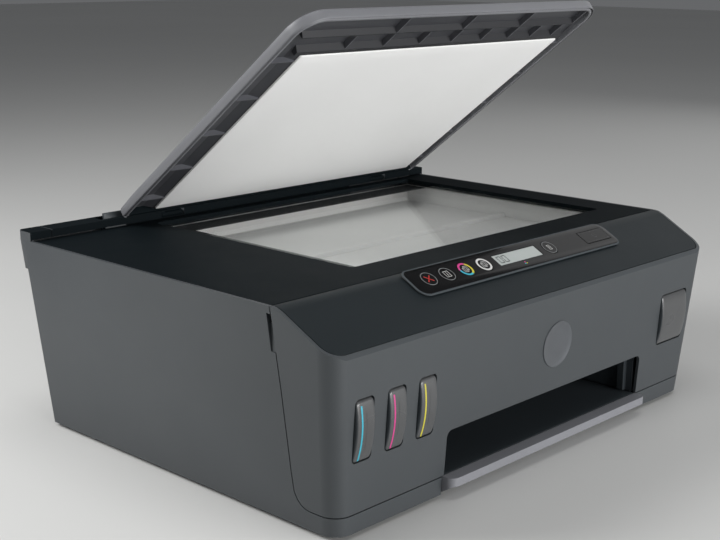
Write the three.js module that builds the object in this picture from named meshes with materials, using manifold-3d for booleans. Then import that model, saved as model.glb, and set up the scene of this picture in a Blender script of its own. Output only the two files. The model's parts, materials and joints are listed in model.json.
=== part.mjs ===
// An ink-tank inkjet printer with a flatbed scanner, its lid standing open.
// Millimetres, +Z up, the front faces -Y. Z = 0 is the surface that the rubber feet stand on,
// and X = Y = 0 is the middle of the case.
import * as THREE from "three";
import { mergeVertices } from "three/addons/utils/BufferGeometryUtils.js";
import Module from "manifold-3d";

const wasm = await Module();
wasm.setup();

// ---- driving dimensions -------------------------------------------------------------------

const FOOT_HEIGHT = 3;                 // the case floats this far above the table
const WALL = 2.5;                      // moulded wall thickness
const SEAM = 0.8;                      // gap between neighbouring covers
const GAP = 0.4;                       // gap between parts that touch

const CASE = {
  half: 223.5,                         // half width at the top
  front: -166.25,                      // front face at the top
  rear: 163,                           // rear face at the top
  ledge: 166.25,                       // rear face of the raised paper-feed ledge
  top: 146.3,                          // height of the flat top
  ledgeFront: 149,
  ledgeBottom: 123.7,
  ledgeTop: 153,
  corner: { front: 14, rear: 5 },       // corner radii in plan
};
const DRAFT = { side: 14.4, front: 10.1, rear: 8.65 };   // how far each face leans in by the floor

const DOOR_FOOT = 13;                  // height of the seam under the front door
const SLOPE_TOP = { y: -122, z: 143.8 };
const SLOPE_FOOT = { y: -158, z: 124.2 };
const SLOPE_ANGLE = Math.atan2(SLOPE_TOP.z - SLOPE_FOOT.z, SLOPE_TOP.y - SLOPE_FOOT.y);

const OUTPUT = { left: -106, right: 135.4, top: 46, trayLeft: -106.8, trayRight: 136.6 };
const WELL = { left: -113.4, right: 191, front: -77.6, rear: 139.6 };
const GLASS_TOP = 142.8;

const LID_OPEN = THREE.MathUtils.degToRad(37.65);        // how far the lid stands open
const LID_HINGE = { y: 152, z: 149.3 };
const LID = { left: -141, right: 207, rear: -5, front: -271, thick: 8.2 };
const PAD = { left: -112.1, right: 192.1, rear: -12, front: -225.7 };

const POD = { left: -109, right: 130.6, front: -19.4, rear: 7.2, base: 0.3, top: 2, corner: 6 };
const BUTTON_RADIUS = 6.7;
const BUTTONS = { cancel: -91, info: -71.7, color_copy: -51.4, mono_copy: -30.8, resume: 48.6 };
const ICON_ROW = -5.5;

const TANKS = [                        // middle, half width of the vessel and ink colour
  { name: "cyan", x: -190.4, half: 13, color: "#2fa3b8" },
  { name: "magenta", x: -160.4, half: 13, color: "#bb3f80" },
  { name: "yellow", x: -130.5, half: 13, color: "#c3b43c" },
];
const BLACK_TANK = { name: "black", x: 177.9, half: 20, color: "#26282a" };

const COLORS = {
  body: "#5d6265", dark: "#23292c", slope: "#2f3538", lid: "#6e6f73", pad: "#e9e9e7",
  tray: "#87888c", inner: "#1b1c1e", glass: "#9aa4a8", steel: "#9b9ea2", board: "#1f5a3c",
  rubber: "#17181a", gloss: "#141517", belt: "#101112", tub: "#c6c6c4",
  bay: "#2c3236",
};

// ---- solids -------------------------------------------------------------------------------

function toSolid(geometry) {
  const bare = geometry.clone();
  bare.deleteAttribute("normal");
  bare.deleteAttribute("uv");
  const merged = mergeVertices(bare, 1e-5);
  return new wasm.Manifold(new wasm.Mesh({
    numProp: 3,
    vertProperties: merged.getAttribute("position").array,
    triVerts: Uint32Array.from(merged.index.array),
  }));
}

function toGeometry(solid) {
  const mesh = solid.getMesh();
  const geometry = new THREE.BufferGeometry();
  geometry.setAttribute("position", new THREE.BufferAttribute(mesh.vertProperties, 3));
  geometry.setIndex(new THREE.BufferAttribute(mesh.triVerts, 1));
  geometry.computeVertexNormals();
  return geometry;
}

function union(...solids) {
  return solids.reduce((whole, next) => whole.add(next));
}

function cut(solid, ...tools) {
  return tools.reduce((left, tool) => left.subtract(tool), solid);
}

/** A box between two corners. */
function boxGeometry(x, y, z) {
  const geometry = new THREE.BoxGeometry(x[1] - x[0], y[1] - y[0], z[1] - z[0]);
  return geometry.translate((x[0] + x[1]) / 2, (y[0] + y[1]) / 2, (z[0] + z[1]) / 2);
}

function box(x, y, z) {
  return toSolid(boxGeometry(x, y, z));
}

/** A rectangle with rounded corners, as a flat outline. */
function roundedRectangle([x0, x1], [y0, y1], radius) {
  const shape = new THREE.Shape();
  const quarter = Math.PI / 2;
  shape.absarc(x1 - radius, y1 - radius, radius, 0, quarter);
  shape.absarc(x0 + radius, y1 - radius, radius, quarter, 2 * quarter);
  shape.absarc(x0 + radius, y0 + radius, radius, 2 * quarter, 3 * quarter);
  shape.absarc(x1 - radius, y0 + radius, radius, 3 * quarter, 4 * quarter);
  return shape;
}

function extrude(shape, length, segments = 5) {
  const options = { depth: length, bevelEnabled: false, curveSegments: segments };
  return new THREE.ExtrudeGeometry(shape, options);
}

function outline(points) {
  return new THREE.Shape(points.map(([a, b]) => new THREE.Vector2(a, b)));
}

/** A plate standing on an X-Y outline. */
function plate(shape, [z0, z1], segments) {
  return toSolid(extrude(shape, z1 - z0, segments).translate(0, 0, z0));
}

/** A bar along X with a Y-Z outline. */
function barX(shape, [x0, x1], segments) {
  const axes = new THREE.Matrix4().makeBasis(
    new THREE.Vector3(0, 1, 0), new THREE.Vector3(0, 0, 1), new THREE.Vector3(1, 0, 0));
  return toSolid(extrude(shape, x1 - x0, segments).applyMatrix4(axes).translate(x0, 0, 0));
}

/** A bar along Y with an X-Z outline. */
function barY(shape, [y0, y1], segments) {
  const axes = new THREE.Matrix4().makeBasis(
    new THREE.Vector3(1, 0, 0), new THREE.Vector3(0, 0, 1), new THREE.Vector3(0, -1, 0));
  return toSolid(extrude(shape, y1 - y0, segments).applyMatrix4(axes).translate(0, y1, 0));
}

/** A round rod along "x", "y" or "z", centred on a point. */
function rod(axis, [x, y, z], radius, length, sides = 20) {
  const geometry = new THREE.CylinderGeometry(radius, radius, length, sides);
  if (axis === "x") geometry.rotateZ(Math.PI / 2);
  if (axis === "z") geometry.rotateX(Math.PI / 2);
  return toSolid(geometry.translate(x, y, z));
}

/** A toothed wheel about X, its teeth cut as a zigzag rim. */
function gearX([x0, x1], [y, z], radius, teeth, tooth) {
  const points = [];
  for (let step = 0; step < teeth * 4; step += 1) {
    const reach = step % 4 < 2 ? radius + tooth / 2 : radius - tooth / 2;
    const angle = (2 * Math.PI * (step - 0.5)) / (teeth * 4);
    points.push([y + reach * Math.cos(angle), z + reach * Math.sin(angle)]);
  }
  return barX(outline(points), [x0, x1]);
}

// ---- scene graph --------------------------------------------------------------------------

const FAR = 300;                       // past every face of the case, for cutting tools
const ALL_X = [-FAR, FAR];

const printer = new THREE.Group();
const body = new THREE.Group();
body.position.z = FOOT_HEIGHT;
printer.add(body);

function material(color, roughness = 0.5, metalness = 0) {
  return new THREE.MeshStandardMaterial({ color, roughness, metalness });
}

function piece(name, solid, finish, parent = body) {
  const mesh = new THREE.Mesh(toGeometry(solid), finish);
  mesh.name = name;
  parent.add(mesh);
  return mesh;
}

// ---- the case -----------------------------------------------------------------------------

/** Lean a straight-sided geometry in towards the floor. */
function draft(geometry) {
  const position = geometry.getAttribute("position");
  const depth = CASE.rear - CASE.front;
  for (let i = 0; i < position.count; i += 1) {
    const lean = Math.max(0, 1 - position.getZ(i) / CASE.top);
    const back = (position.getY(i) - CASE.front) / depth;
    position.setX(i, position.getX(i) * (1 - (lean * DRAFT.side) / CASE.half));
    position.setY(i, position.getY(i) + lean * (DRAFT.front * (1 - back) - DRAFT.rear * back));
  }
  return geometry;
}

/** The case's plan: large corners in front, small ones at the rear. */
function casePlan(inset, [y0, y1]) {
  const shape = new THREE.Shape();
  const quarter = Math.PI / 2;
  const half = CASE.half - inset;
  const front = CASE.corner.front - inset;
  const rear = Math.max(1, CASE.corner.rear - inset);
  shape.absarc(half - rear, y1 - rear, rear, 0, quarter);
  shape.absarc(rear - half, y1 - rear, rear, quarter, 2 * quarter);
  shape.absarc(front - half, y0 + front, front, 2 * quarter, 3 * quarter);
  shape.absarc(half - front, y0 + front, front, 3 * quarter, 4 * quarter);
  return shape;
}

function draftedBlock(inset, y, z) {
  const shape = casePlan(inset, y);
  return toSolid(draft(extrude(shape, z[1] - z[0]).translate(0, 0, z[0])));
}

/** The case's outer form, with every face moved in by inset. */
function envelope(inset, [floor, top]) {
  const main = draftedBlock(inset, [CASE.front + inset, CASE.rear - inset], [floor, top]);
  const ledgeDepth = [CASE.ledgeFront - 40, CASE.ledge - inset];
  const low = draftedBlock(inset, ledgeDepth, [CASE.ledgeBottom + inset, CASE.top]);
  const high = draftedBlock(inset, ledgeDepth, [CASE.top, CASE.ledgeTop - inset]);
  const behind = box(ALL_X, [CASE.ledgeFront + inset, FAR], [0, FAR]);
  return union(main, low.intersect(behind), high.intersect(behind));
}

const DECK_FRONT = -112;               // where the flat top ends and the door's slope begins
const SIDE_SEAM = [[DECK_FRONT, 146.4], [-116.3, 91.9], [-119.3, 38], [-120.5, 24.4]];
const SEAM_CORNER = { y: -134, z: 26.5, radius: 13.5 };
const CROWN = [[-164.4, 119.5], [-162.6, 122], [-158, 124.2], [-122, 143.8], [-117, 145.8]];

/** The seam between door and side cover as seen from the side, moved back by shift. */
function seamLine(shift) {
  const line = SIDE_SEAM.map(([y, z]) => [y + shift, z]);
  const radius = SEAM_CORNER.radius + shift;
  for (let step = 1; step <= 5; step += 1) {
    const angle = (-Math.PI / 2) * (step / 5);
    line.push([SEAM_CORNER.y + radius * Math.cos(angle), SEAM_CORNER.z + radius * Math.sin(angle)]);
  }
  return line;
}

const outer = envelope(0, [0, CASE.top]);
const hollow = envelope(WALL, [-1, CASE.top + 1]);
const skin = cut(outer, hollow);
const inside = envelope(WALL + SEAM, [-1, CASE.top]);

const doorFront = [[-FAR, DOOR_FOOT + SEAM], [-FAR, CROWN[0][1]]];
const doorZone = barX(outline([...seamLine(-SEAM), ...doorFront, ...CROWN]), ALL_X);
const doorCorner = [[-FAR, DOOR_FOOT], [-FAR, FAR]];
const doorClear = barX(outline([[DECK_FRONT, FAR], ...seamLine(0), ...doorCorner]), ALL_X);

const REAR_COVER_HALF = 205;           // half width of the rear cover
const rearZone = box(
  [SEAM - REAR_COVER_HALF, REAR_COVER_HALF - SEAM], [CASE.ledgeFront, FAR], [-10, FAR]);
const rearClear = box(
  [-REAR_COVER_HALF, REAR_COVER_HALF], [CASE.ledgeFront - SEAM, FAR], [-10, FAR]);

const REAR_PANEL = { x: [-213.5, 213.5], z: [12, 84], proud: 3 };
const rearPanelDepth = [CASE.rear - 1, CASE.rear + REAR_PANEL.proud];
const rearPanel = toSolid(draft(boxGeometry(REAR_PANEL.x, rearPanelDepth, REAR_PANEL.z)));

// The finger recess beside the door, seen from the side, and how far out from the middle it starts.
const GRIP = [[-113.5, 141], [-109, 141.5], [-110.5, 116.5], [-115, 116]];
const GRIP_FLOOR = 219.8;

/** One side of the case, from the tray's edge outwards, with a stiffening rib inside. */
function sideCover(zone, gripZone) {
  const half = box(zone, ALL_X, [-10, FAR]);
  const grip = barX(outline(GRIP), gripZone);
  const band = cut(envelope(WALL - 0.5, [0, CASE.top]), envelope(WALL + 3, [-1, CASE.top + 1]));
  const rib = band.intersect(half).intersect(box(ALL_X, [-60, 60], [60, 64]));
  const shell = cut(skin.add(rearPanel).intersect(half), doorClear, rearClear, grip);
  return union(shell, rib);
}

const leftCover = sideCover([-FAR, OUTPUT.trayLeft - SEAM], [-FAR, -GRIP_FLOOR]);
const rightCover = sideCover([OUTPUT.trayRight + SEAM, FAR], [GRIP_FLOOR, FAR]);
piece("left_side_cover", leftCover, material(COLORS.body));
piece("right_side_cover", rightCover, material(COLORS.body));

const HINGES = { left: [-99, -78], right: [149, 168] };
const FEED_SLOT = { x: [-156, 130], y: [152.8, 163.2] };
const INLET = { x: [-182, -158], z: [14, 30] };
const USB = { x: [150, 163], z: [24, 36] };

const THROUGH_REAR = [140, 180];       // Y range of the tools that pierce the rear wall

/** The rear wall and the paper-feed ledge, open at the feed slot, sockets and lid hinges. */
function rearCover() {
  const wall = skin.intersect(rearZone);
  const raised = rearPanel.intersect(rearZone);
  const slot = box(FEED_SLOT.x, FEED_SLOT.y, [140, 160]);
  const inlet = box(INLET.x, THROUGH_REAR, INLET.z);
  const usb = box(USB.x, THROUGH_REAR, USB.z);
  const notches = Object.values(HINGES).map(
    ([x0, x1]) => box([x0 - 1, x1 + 1], [140, LID_HINGE.y + 3.4], [CASE.top + 0.2, 160]));
  return cut(union(wall, raised), slot, inlet, usb, ...notches);
}

piece("rear_cover", rearCover(), material(COLORS.body));

/** The flat deck round the scanner window, lying over the edges of the glass. */
function topCover() {
  const deck = [DECK_FRONT + SEAM, CASE.ledgeFront - SEAM];
  const slab = inside.intersect(box(ALL_X, deck, [GLASS_TOP + 0.3, CASE.top]));
  const rim = roundedRectangle([WELL.left, WELL.right], [WELL.front, WELL.rear], 3);
  return cut(slab, plate(rim, [GLASS_TOP, CASE.top + 1], 4));
}

piece("top_cover", topCover(), material(COLORS.dark, 0.55));

const BASE_TOP = 11.4;

/** The floor tray inside the covers, cut away under the paper tray. */
function basePan() {
  const block = inside.intersect(box(ALL_X, ALL_X, [0, BASE_TOP]));
  const room = envelope(WALL + SEAM + 2, [WALL, CASE.top]);
  const trayBay = box([OUTPUT.trayLeft - 1, OUTPUT.trayRight + 1], [-FAR, -18], [-10, 60]);
  return cut(block, room, trayBay);
}

piece("base_pan", basePan(), material(COLORS.inner, 0.7));

const FOOT_RADIUS = 9;
const FEET = {
  front_left: [-178, -128],
  front_right: [178, -128],
  rear_left: [-178, 118],
  rear_right: [178, 118],
};
for (const [place, [x, y]] of Object.entries(FEET)) {
  const gap = 0.3;
  const pad = rod("z", [x, y, (-FOOT_HEIGHT - gap) / 2], FOOT_RADIUS, FOOT_HEIGHT - gap, 20);
  piece(`rubber_foot_${place}`, pad, material(COLORS.rubber, 0.9));
}

// ---- front door with its control panel ----------------------------------------------------

const WINDOW = { z: [48.7, 91.5], radius: 3.5 };
const WINDOWS = [
  ...TANKS.map((tank) => ({ ...tank, width: 17.7 })),
  { ...BLACK_TANK, width: 39.3 },
];

/** The wrap-round front door, open at the paper output and at the four ink windows. */
function frontDoor() {
  const mouth = roundedRectangle([OUTPUT.left, OUTPUT.right], [-40, OUTPUT.top], 5);
  const windows = WINDOWS.map(({ x, width }) => {
    const frame = roundedRectangle([x - width / 2, x + width / 2], WINDOW.z, WINDOW.radius);
    return barY(frame, [-FAR, -130], 3);
  });
  return cut(skin.intersect(doorZone), barY(mouth, [-FAR, -100]), ...windows);
}

piece("front_door", frontDoor(), material(COLORS.body));

/** The sloping panel over the door, a bent plate seen from the side as top and under lines. */
function controlFascia() {
  const rear = DECK_FRONT - GAP;
  const top = [[rear, 146.3], [-117, 145.8], [-122, 143.8], [-158, 124.2], [-161.2, 122.5]];
  const under = [[-161.2, 119.4], [-157.2, 121.4], [-121.2, 141], [-116.5, 143], [rear, 143.5]];
  return barX(outline([...top, ...under]), ALL_X).intersect(inside);
}

piece("control_fascia", controlFascia(), material(COLORS.slope, 0.5));

const slope = new THREE.Group();
slope.position.set(0, SLOPE_TOP.y, SLOPE_TOP.z);
slope.rotation.x = SLOPE_ANGLE;
body.add(slope);

const POWER_KEY = { x: [92.4, 125.1], y: [-12, 1] };
const LCD = { x: [-16, 35], y: [-10.4, 0.4] };

function widened([low, high], margin) {
  return [low - margin, high + margin];
}

/** The glossy control strip, with clearance holes for the display and every key. */
function panelBezel() {
  const shape = roundedRectangle([POD.left, POD.right], [POD.front, POD.rear], POD.corner);
  const slab = plate(shape, [POD.base, POD.top]);
  const round = Object.values(BUTTONS).map(
    (x) => rod("z", [x, ICON_ROW, 1], BUTTON_RADIUS + GAP, 4, 24));
  const square = [POWER_KEY, LCD].map(
    ({ x, y }) => box(widened(x, GAP), widened(y, GAP), [-1, 5]));
  return cut(slab, ...round, ...square);
}

piece("panel_bezel", panelBezel(), material(COLORS.gloss, 0.2), slope);
piece("lcd_display", box(LCD.x, LCD.y, [POD.base, POD.top - 0.2]), material("#c9cccb", 0.2), slope);
for (const [name, x] of Object.entries(BUTTONS)) {
  const key = rod("z", [x, ICON_ROW, 1.7], BUTTON_RADIUS, 1, 24);
  piece(`${name}_button`, key, material(COLORS.gloss, 0.3), slope);
}
piece("power_button", box(POWER_KEY.x, POWER_KEY.y, [1.2, 2.2]), material(COLORS.gloss, 0.3), slope);

const LENS = { gap: 0.8, edge: 3, crown: 7.6 };          // how far its ends and middle stand forward

/** A window lens: a clipped-in flange behind the door and a bulging front in the opening. */
function tankWindow({ x, width }) {
  const [low, high] = widened(WINDOW.z, -LENS.gap);
  const bulge = new THREE.Shape();
  bulge.moveTo(0, low);
  bulge.lineTo(0, high);
  bulge.lineTo(-LENS.edge, high);
  bulge.quadraticCurveTo(LENS.edge - 2 * LENS.crown, (low + high) / 2, -LENS.edge, low);
  const opening = [x - width / 2, x + width / 2];
  const across = widened(opening, -LENS.gap);
  const pane = roundedRectangle(across, [low, high], WINDOW.radius - LENS.gap);
  const lens = barX(bulge, across, 10).intersect(barY(pane, [-10, 2], 3));
  const flange = box(widened(opening, 1.5), [-0.2, 1.6], [low - 3, high + 3]);
  return union(lens, flange);
}

const faceLean = Math.atan2(DRAFT.front, CASE.top);
for (const pane of WINDOWS) {
  const holder = new THREE.Group();
  holder.position.set(0, CASE.front + DRAFT.front + WALL + 0.5, 0);
  holder.rotation.x = faceLean;
  body.add(holder);
  piece(`tank_window_${pane.name}`, tankWindow(pane), material("#3a3d40", 0.15), holder);
}

// ---- output tray --------------------------------------------------------------------------

const BAY = { y: [-153, -12], floor: 14, roof: [47, 49.4], wall: 2.4, gap: 0.6 };

/** The dark tunnel behind the output mouth: a roof, two walls on skirts and a front post. */
function outputBay() {
  const reach = BAY.gap + BAY.wall;
  const roof = box(widened([OUTPUT.left, OUTPUT.right], reach), BAY.y, BAY.roof);
  const leftSide = [OUTPUT.left - reach, OUTPUT.left - BAY.gap];
  const rightSide = [OUTPUT.right + BAY.gap, OUTPUT.right + reach];
  const walls = [leftSide, rightSide].map((x) => box(x, BAY.y, [BAY.floor, BAY.roof[0] + 1]));
  const post = box([OUTPUT.right - 3, OUTPUT.right + 1], [-147, -141], [BAY.floor, BAY.roof[0] + 1]);
  const skirts = [[OUTPUT.left - 5.2, OUTPUT.left - 2.4], [OUTPUT.right + 2.4, OUTPUT.right + 5.2]]
    .map((x) => box(x, [-150, -22], [WALL + GAP, BAY.floor + 2]));
  return union(roof, ...walls, post, ...skirts);
}

piece("output_bay", outputBay(), material(COLORS.bay, 0.6));

const LIP = { y: [CASE.front, -155.8], frontFoot: 7, rearFoot: 1.4 };
const TRAY = { x: [OUTPUT.trayLeft, OUTPUT.trayRight], y: [LIP.y[1] + GAP, -20], z: [0.9, 13.2] };
const EXTENDER = { x: [-60, 90], y: [LIP.y[1] - 1, -24], z: [4.2, 8.6] };

/** The dark paper tray, slotted from the front for its sliding extender. */
function outputTray() {
  const slab = box(TRAY.x, TRAY.y, TRAY.z);
  const slot = box(widened(EXTENDER.x, 0.6), [-FAR, EXTENDER.y[1] + 1], widened(EXTENDER.z, GAP));
  return cut(slab, slot);
}

piece("output_tray", outputTray(), material(COLORS.bay, 0.5));

/** The extender: a sliding plate behind a full-width lip, which is undercut for the fingers. */
function trayExtender() {
  const slab = plate(roundedRectangle(EXTENDER.x, EXTENDER.y, 0.5), EXTENDER.z, 2);
  const rim = plate(roundedRectangle(TRAY.x, [LIP.y[0], LIP.y[1] + 20], 6), TRAY.z, 5);
  const lip = rim.intersect(box(ALL_X, LIP.y, TRAY.z));
  const below = outline([
    [LIP.y[0] - 1, TRAY.z[0] - 2],
    [LIP.y[1] + 0.2, TRAY.z[0] - 2],
    [LIP.y[1] + 0.2, LIP.rearFoot],
    [LIP.y[0] + 1.5, LIP.frontFoot],
    [LIP.y[0] - 1, LIP.frontFoot],
  ]);
  return union(cut(lip, barX(below, ALL_X)), slab);
}

piece("tray_extender", trayExtender(), material(COLORS.tray, 0.5));

// ---- ink tanks ----------------------------------------------------------------------------

const TANK = { front: -149, depth: 38, top: 88 };
const CAP = { half: 9, y: [-145, -124], hingeY: -122.6, thick: 5, knuckle: 2.4 };

for (const { name, x, color, half } of [...TANKS, BLACK_TANK]) {
  const finish = material(color, 0.3);
  const plan = roundedRectangle([x - half, x + half], [TANK.front, TANK.front + TANK.depth], 3);
  piece(`ink_tank_${name}`, plate(plan, [WALL + GAP, TANK.top], 3), finish);
  const capPlan = roundedRectangle([x - CAP.half, x + CAP.half], CAP.y, 4);
  const flap = plate(capPlan, [TANK.top + GAP, TANK.top + CAP.thick], 3);
  const knuckle = rod("x", [x, CAP.hingeY, TANK.top + 3], CAP.knuckle, 10, 12);
  piece(`tank_cap_${name}`, union(flap, knuckle), finish);
}

// ---- scanner ------------------------------------------------------------------------------

const GLASS = { x: [-117, 195], y: [-81, 143], thick: 3 };
piece("platen_glass", box(GLASS.x, GLASS.y, [GLASS_TOP - GLASS.thick, GLASS_TOP]),
  material(COLORS.glass, 0.05));

const TUB = { x: [-122, 200], y: [-88, 147], z: [121.5, GLASS_TOP - GLASS.thick - GAP] };
const SCAN_RAIL = { y: [26, 34], top: 127.5 };

/** The scanner's floor tray under the glass, with the rail that the scan bar runs on. */
function scannerTub() {
  const floor = TUB.z[0] + WALL;
  const room = box(widened(TUB.x, -WALL), widened(TUB.y, -WALL), [floor, CASE.top]);
  const rail = box(widened(TUB.x, -WALL), SCAN_RAIL.y, [floor - 0.5, SCAN_RAIL.top]);
  return union(cut(box(TUB.x, TUB.y, TUB.z), room), rail);
}

piece("scanner_tub", scannerTub(), material(COLORS.tub, 0.6));

/** The image sensor's bar, saddled over the rail. */
function scanBar() {
  const bar = box([-114, -84], [-80, 140], [129, 138]);
  const saddle = box([-107, -91], widened(SCAN_RAIL.y, 3), [124.6, 130]);
  const groove = box([-120, -80], widened(SCAN_RAIL.y, GAP), [110, SCAN_RAIL.top + GAP]);
  return cut(union(bar, saddle), groove);
}

piece("scan_bar", scanBar(), material("#2a2c2e", 0.5));

// ---- lid ----------------------------------------------------------------------------------

const lid = new THREE.Group();
lid.position.set(0, LID_HINGE.y, LID_HINGE.z);
lid.rotation.x = -LID_OPEN;
body.add(lid);

const LID_POCKET = 5.4;                // depth of the hollow under the lid
const LID_CORNER = { rear: 5, front: 22, inner: 17 };

/** The lid's outline: small corners at the hinge, large ones at the front. */
function lidPlan() {
  const plan = new THREE.Shape();
  const quarter = Math.PI / 2;
  const { rear, front } = LID_CORNER;
  plan.absarc(LID.right - rear, LID.rear - rear, rear, 0, quarter);
  plan.absarc(LID.left + rear, LID.rear - rear, rear, quarter, 2 * quarter);
  plan.absarc(LID.left + front, LID.front + front, front, 2 * quarter, 3 * quarter);
  plan.absarc(LID.right - front, LID.front + front, front, 3 * quarter, 4 * quarter);
  return plan;
}

/** The hollow lid, thinned at the rear edge so that it swings clear of the paper feed. */
function lidShell() {
  const slab = plate(lidPlan(), [0, LID.thick], 6);
  const inner = roundedRectangle(
    widened([LID.left, LID.right], -4), [LID.front + 5, LID.rear - 6.4], LID_CORNER.inner);
  const thinned = [[-12, 20], [-12, LID.thick], [-4, 2.3], [10, 2.3], [10, 20]];
  return cut(slab, plate(inner, [-1, LID_POCKET], 5), barX(outline(thinned), ALL_X));
}

piece("lid_shell", lidShell(), material(COLORS.lid, 0.55), lid);
const padPlan = roundedRectangle([PAD.left, PAD.right], [PAD.front, PAD.rear], 2);
piece("lid_pad", plate(padPlan, [0, LID_POCKET - 0.3], 2), material(COLORS.pad, 0.6), lid);

for (const [side, x] of Object.entries(HINGES)) {
  const knuckle = rod("x", [(x[0] + x[1]) / 2, 0, 0], 2.4, x[1] - x[0], 16);
  const arm = box(widened(x, -3), [LID.rear + 0.3, 0], [0.3, 2]);
  piece(`lid_hinge_${side}`, union(knuckle, arm), material(COLORS.dark, 0.5), lid);
}

// ---- rear paper feed ----------------------------------------------------------------------

const FEED_LEAN = THREE.MathUtils.degToRad(12);
const feed = new THREE.Group();
feed.position.set(0, 159, CASE.ledgeTop);
feed.rotation.x = -FEED_LEAN;
body.add(feed);

const guidePlate = box([-152, -132], [-3.2, -1.2], [-20, 3.6]);
const guideStem = box([-152, -150], [-3.2, -1.2], [-24, -18]);
piece("paper_width_guide", union(guidePlate, guideStem), material(COLORS.lid, 0.5), feed);
const feedTray = barY(roundedRectangle([-154, 128], [-94, -0.4], 5), [-0.8, 1], 4);
piece("input_tray", feedTray, material(COLORS.dark, 0.5), feed);
const feedExtension = barY(roundedRectangle([-60, 90], [-88, -0.8], 5), [1.4, 2.6], 4);
piece("input_tray_extension", feedExtension, material(COLORS.dark, 0.5), feed);

// ---- print engine -------------------------------------------------------------------------

const MODULE = 1;                      // gear tooth size
const TEETH = { feed: 17, idler: 42, output: 11 };
const GEAR_X = [-150, -144];
const TOOTH = 0.9;
const FEED_AXIS = { y: 62, z: 44 };
const OUTPUT_AXIS = { y: 6, z: 42 };
const IDLER_AXIS = { y: 32.52, z: 42.95 };
const BACKLASH = 0.05;

function gear(axis, teeth) {
  const radius = (MODULE * teeth - TOOTH) / 2 - BACKLASH;
  return gearX(GEAR_X, [axis.y, axis.z], radius, teeth, TOOTH);
}

function feedRoller() {
  const shaft = rod("x", [0, FEED_AXIS.y, FEED_AXIS.z], 3, 300, 12);
  const sleeve = rod("x", [15, FEED_AXIS.y, FEED_AXIS.z], 7, 230, 20);
  return union(shaft, sleeve, gear(FEED_AXIS, TEETH.feed));
}

function outputRoller() {
  const { y, z } = OUTPUT_AXIS;
  const shaft = rod("x", [-4, y, z], 2.2, 292, 10);
  const wheels = [-75, -30, 15, 60, 105].map((x) => rod("x", [x, y, z], 4.5, 12, 16));
  return union(shaft, ...wheels, gear(OUTPUT_AXIS, TEETH.output));
}

piece("feed_roller", feedRoller(), material(COLORS.rubber, 0.8));
piece("output_roller", outputRoller(), material(COLORS.rubber, 0.8));
const idlerHub = rod("x", [(GEAR_X[0] + GEAR_X[1]) / 2, IDLER_AXIS.y, IDLER_AXIS.z], 4, 9, 14);
piece("idler_gear", union(gear(IDLER_AXIS, TEETH.idler), idlerHub), material("#d8d6cf", 0.5));

const PLATEN = { x: [-112, 142], y: [14, 50], z: [40, 46] };
const TROUGH = { count: 8, first: -104, pitch: 31, width: 10, depth: 2 };

/** The bridge under the print heads, with a row of shallow ink troughs. */
function printPlaten() {
  const troughs = Array.from({ length: TROUGH.count }, (_, i) => {
    const left = TROUGH.first + TROUGH.pitch * i;
    const floor = PLATEN.z[1] - TROUGH.depth;
    return box([left, left + TROUGH.width], widened(PLATEN.y, -4), [floor, floor + 10]);
  });
  return cut(box(PLATEN.x, PLATEN.y, PLATEN.z), ...troughs);
}

piece("print_platen", printPlaten(), material(COLORS.inner, 0.6));

const RAIL = { x: [-190, 190], front: 66, back: 86, foot: 58, top: 116.5, thick: 2 };

/** The folded steel rail: a back plate, a top ledge and a front lip. */
function carriageRail() {
  const { x, front, back, foot, top, thick } = RAIL;
  const plateBehind = box(x, [back - thick, back], [foot, top]);
  const ledge = box(x, [front, back], [top - thick, top]);
  const lip = box(x, [front, front + thick], [top - 10, top]);
  return union(plateBehind, ledge, lip);
}

piece("carriage_rail", carriageRail(), material(COLORS.steel, 0.4, 0.8));

const HEADS = { color: [-15.4, 17.4], black: [22.6, 55.4] };

const CARRIAGE = { x: [-20, 60], y: [8, 64], z: [54, 100] };

/** The carriage, open at the front and top for two print heads, hooked behind the rail's lip. */
function carriage() {
  const bays = Object.values(HEADS).map((x) => box(widened(x, 0.6), [4, 56], [60, 120]));
  const hook = box([-10, 50], [62, 82], [92, CARRIAGE.z[1]]);
  return union(cut(box(CARRIAGE.x, CARRIAGE.y, CARRIAGE.z), ...bays), hook);
}

piece("carriage", carriage(), material(COLORS.inner, 0.5));
for (const [name, x] of Object.entries(HEADS)) {
  piece(`printhead_${name}`, box(x, [10, 55], [60.4, 92]), material("#33363a", 0.4));
}
const latchPlate = box(widened(CARRIAGE.x, -2), [12, 54], [100.6, 103]);
const latchTab = box([8, 32], [4, 13], [100.6, 105]);
piece("printhead_latch", union(latchPlate, latchTab), material("#2b5f8c", 0.4));

const BELT = { reach: 177, middle: 92, half: 6.8, thick: 1.4, y: [88, 91.6] };

function beltLoop(inset) {
  const across = widened([-BELT.reach, BELT.reach], -inset);
  const height = widened([BELT.middle - BELT.half, BELT.middle + BELT.half], -inset);
  return roundedRectangle(across, height, BELT.half - inset - 0.1);
}

const belt = cut(barY(beltLoop(0), BELT.y), barY(beltLoop(BELT.thick), widened(BELT.y, 5)));
piece("drive_belt", belt, material(COLORS.belt, 0.8));

/** A motor can with its shaft standing out of one end, along "x" or "y". */
function motor(axis, can, shaft) {
  const metal = material(COLORS.steel, 0.35, 0.8);
  const solid = union(
    rod(axis, can.at, can.radius, can.length, 24), rod(axis, shaft.at, shaft.radius, shaft.length, 12));
  return [solid, metal];
}

piece("carriage_motor", ...motor("y",
  { at: [-170, 106, BELT.middle], radius: 13, length: 24 },
  { at: [-170, 90.4, BELT.middle], radius: 2, length: 7.4 }));
piece("feed_motor", ...motor("x",
  { at: [-164, 33, 80], radius: 12, length: 22 },
  { at: [-150, 33, 80], radius: 1.5, length: 8 }));

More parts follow.
